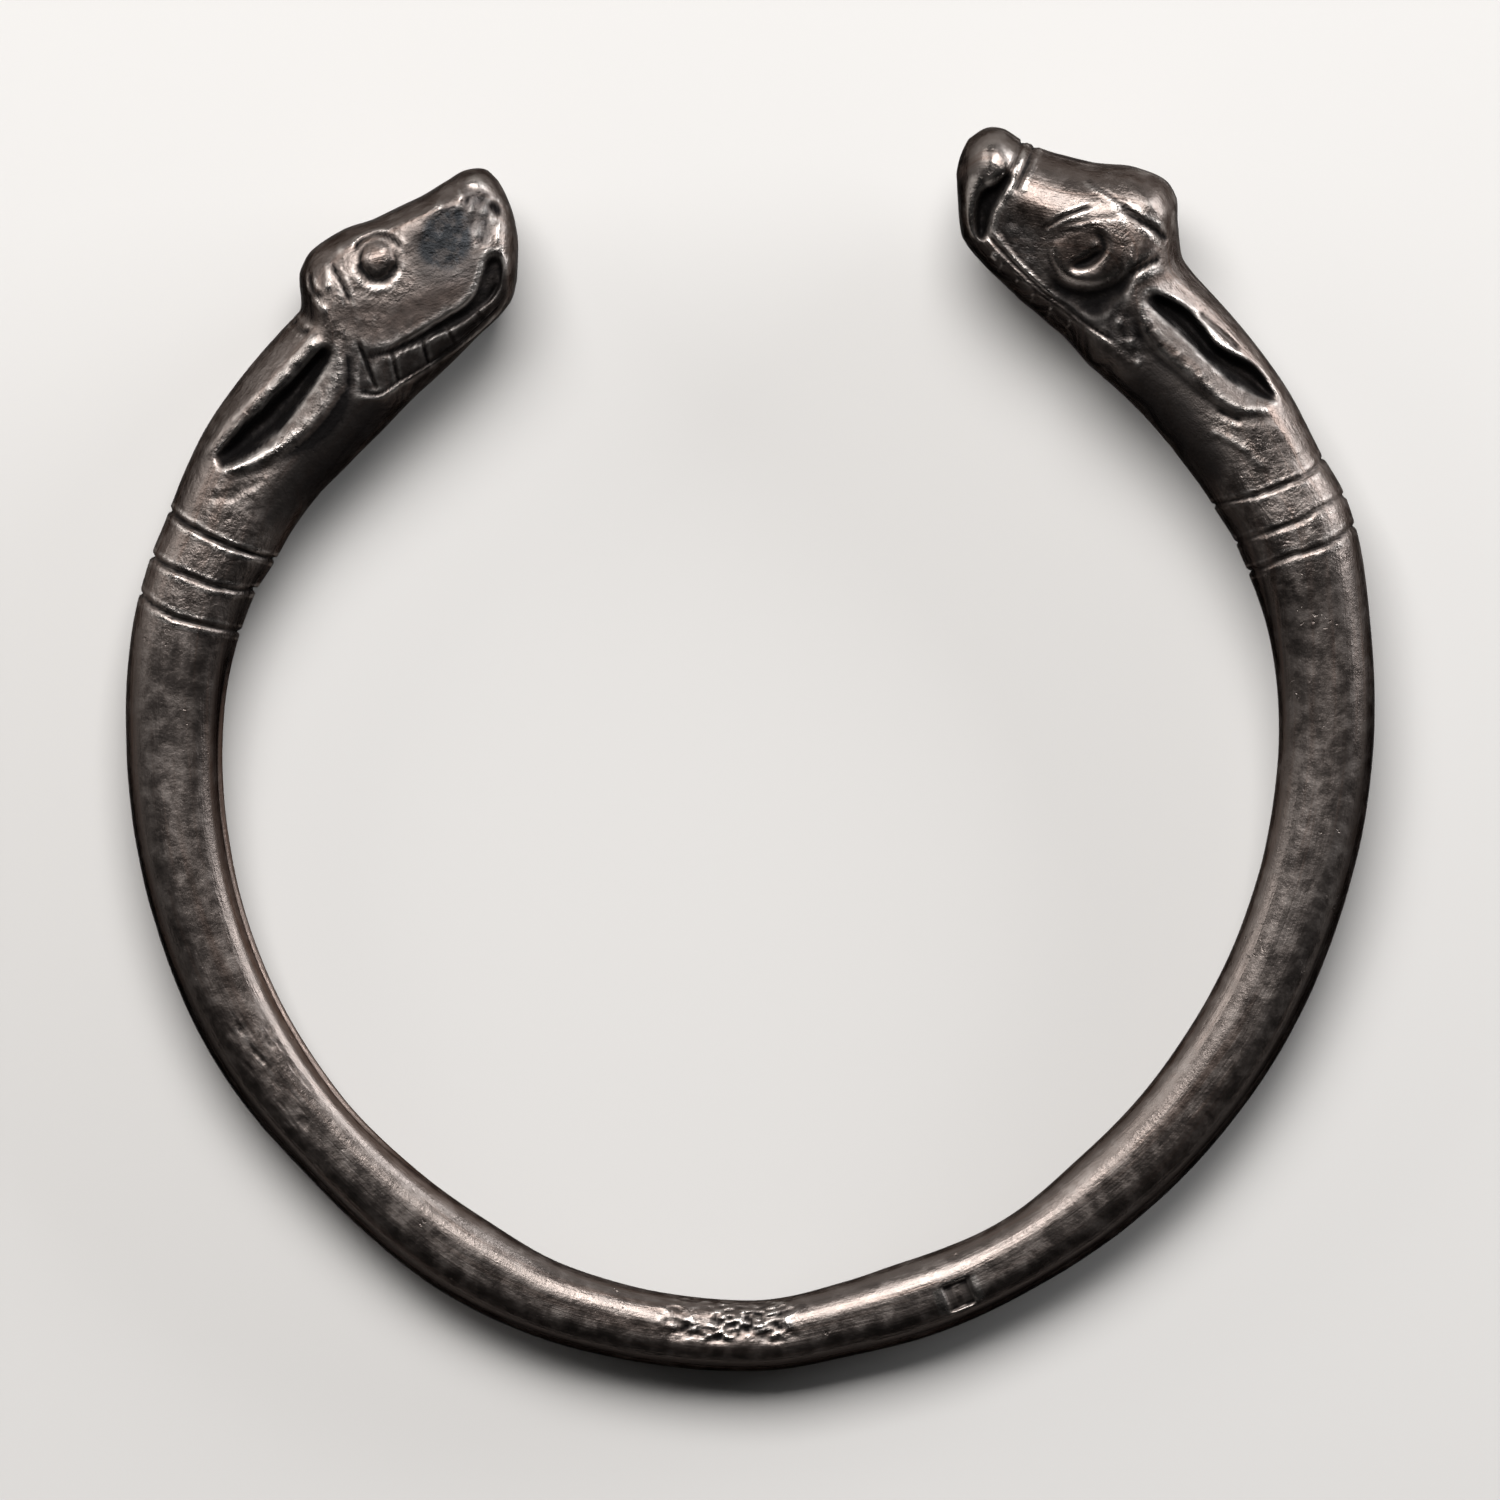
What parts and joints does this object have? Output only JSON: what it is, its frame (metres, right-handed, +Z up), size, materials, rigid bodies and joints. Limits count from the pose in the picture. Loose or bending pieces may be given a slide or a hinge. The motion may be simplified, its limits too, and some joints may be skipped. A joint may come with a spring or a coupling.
{
  "type": "penannular silver bracelet",
  "caption": "Open round-rod silver bangle cast in one piece, each end an animal's head with laid-back ears, engraved eye, toothed mouth and grooved neck.",
  "frame": {"origin": "on the surface that the bracelet lies on, below the middle of its bounding box", "axes": "+Z up out of the hoop as it lies on its side, +Y towards the gap between the two heads, +X from the first head to the second"},
  "size_m": [0.0752, 0.075, 0.0096],
  "materials": {
    "silver": "cast silver with a dark brownish-grey tarnish, rubbed brighter on the ridges, finely pitted and scratched"
  },
  "bodies": {
    "root": {"bracelet": "silver"}
  },
  "joints": []
}
